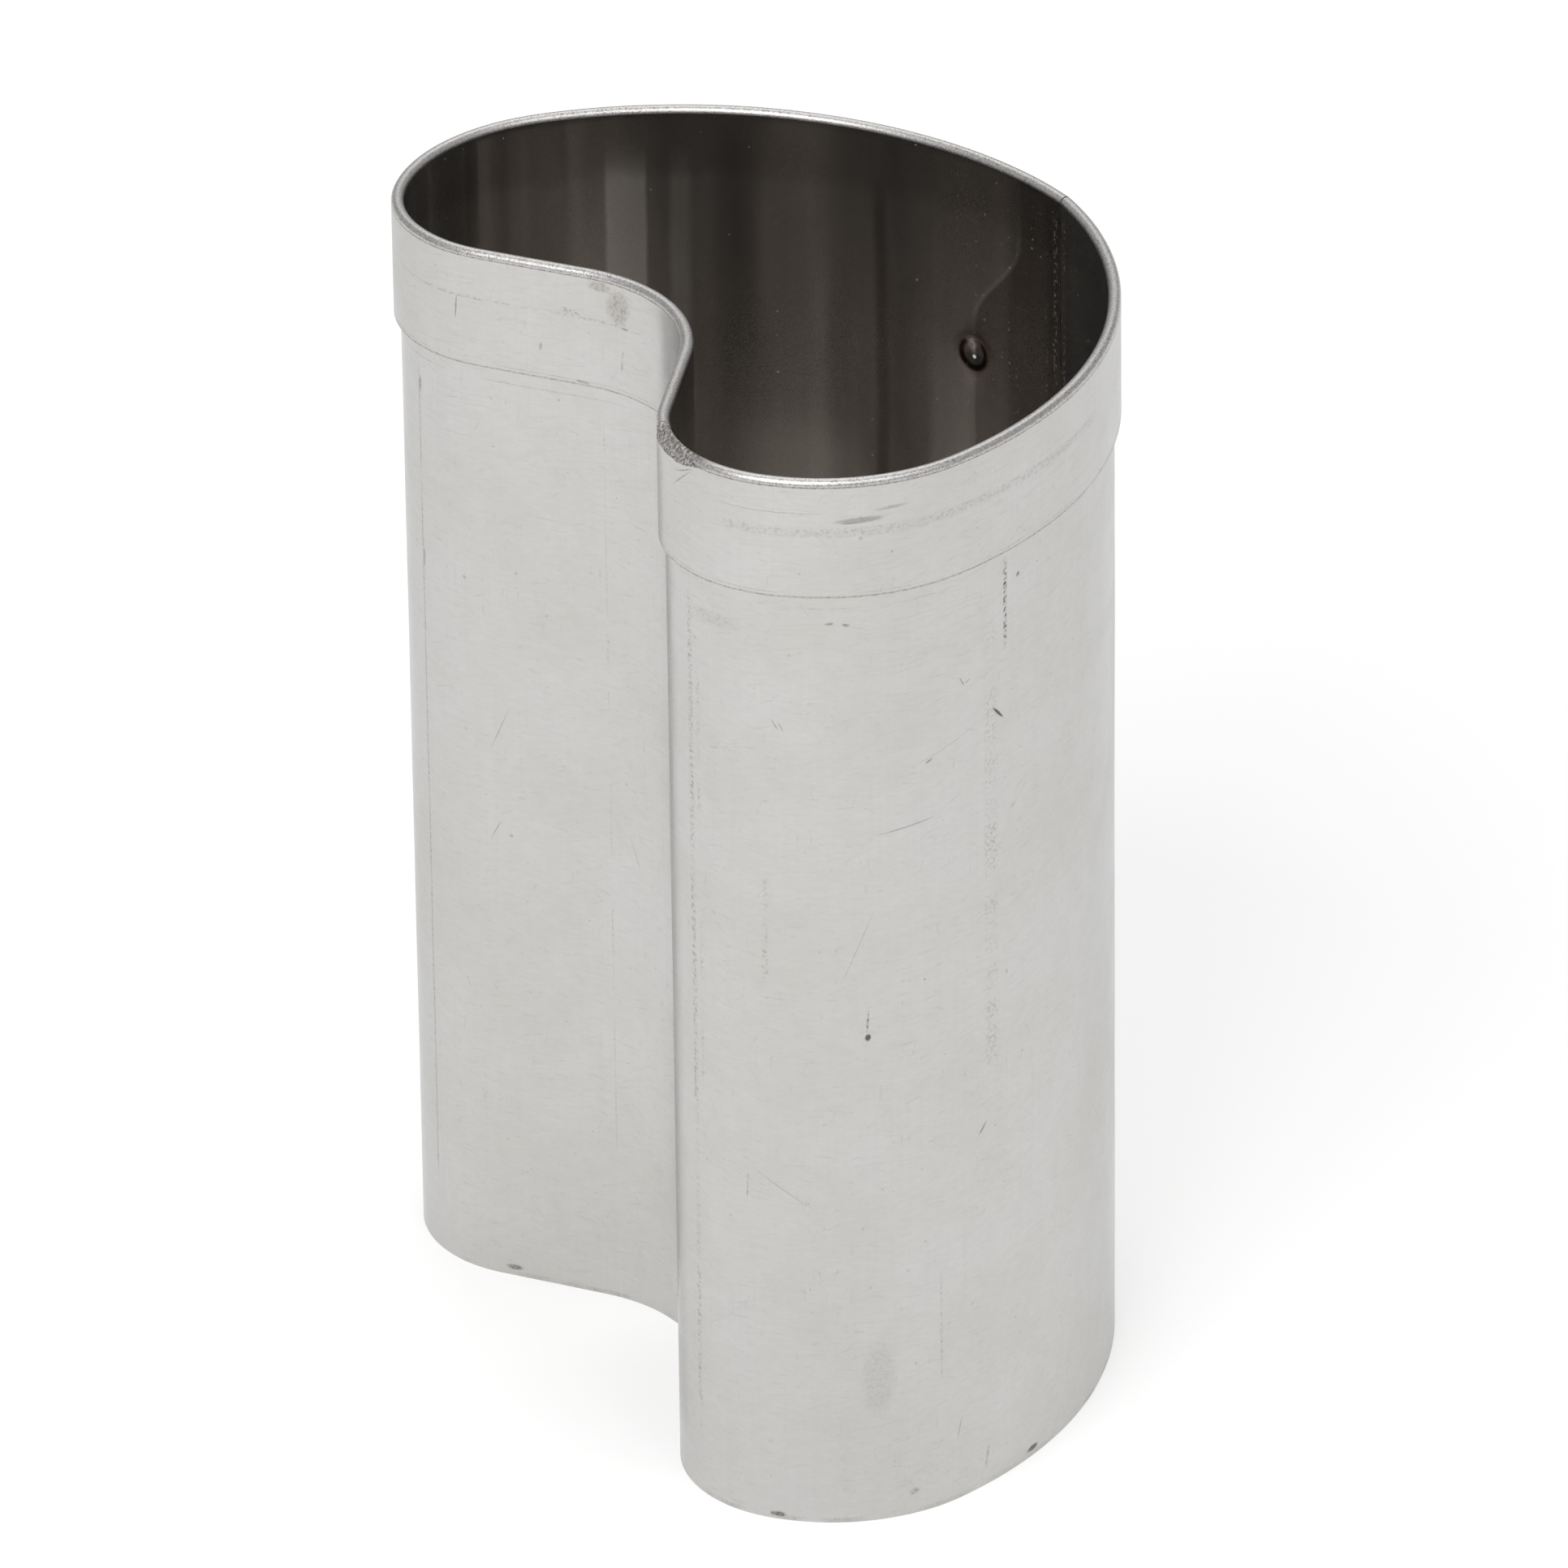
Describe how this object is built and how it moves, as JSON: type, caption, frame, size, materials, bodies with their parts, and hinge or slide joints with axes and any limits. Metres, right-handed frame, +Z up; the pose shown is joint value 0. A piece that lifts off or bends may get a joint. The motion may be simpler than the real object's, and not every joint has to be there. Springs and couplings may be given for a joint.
{
  "type": "petit four cutter",
  "caption": "Tall hand cutter for petits fours: one thin steel strip bent to a wide soft heart with a rounded notch, hemmed rim above, plain cutting edge below, open right through.",
  "frame": {"origin": "on the cutting edge's plane, under the middle of the cutter's outline", "axes": "+Z up from the cutting edge to the hemmed rim; -Y towards the notch between the lobes; +Y towards the lapped point; +X across the two lobes"},
  "size_m": [0.0448, 0.031, 0.06],
  "materials": {
    "steel": "thin rolled stainless sheet, satin, with fine upright rolling lines, light scratches and a duller rolled rim"
  },
  "bodies": {
    "root": {"cutter_body": "steel"}
  },
  "joints": []
}
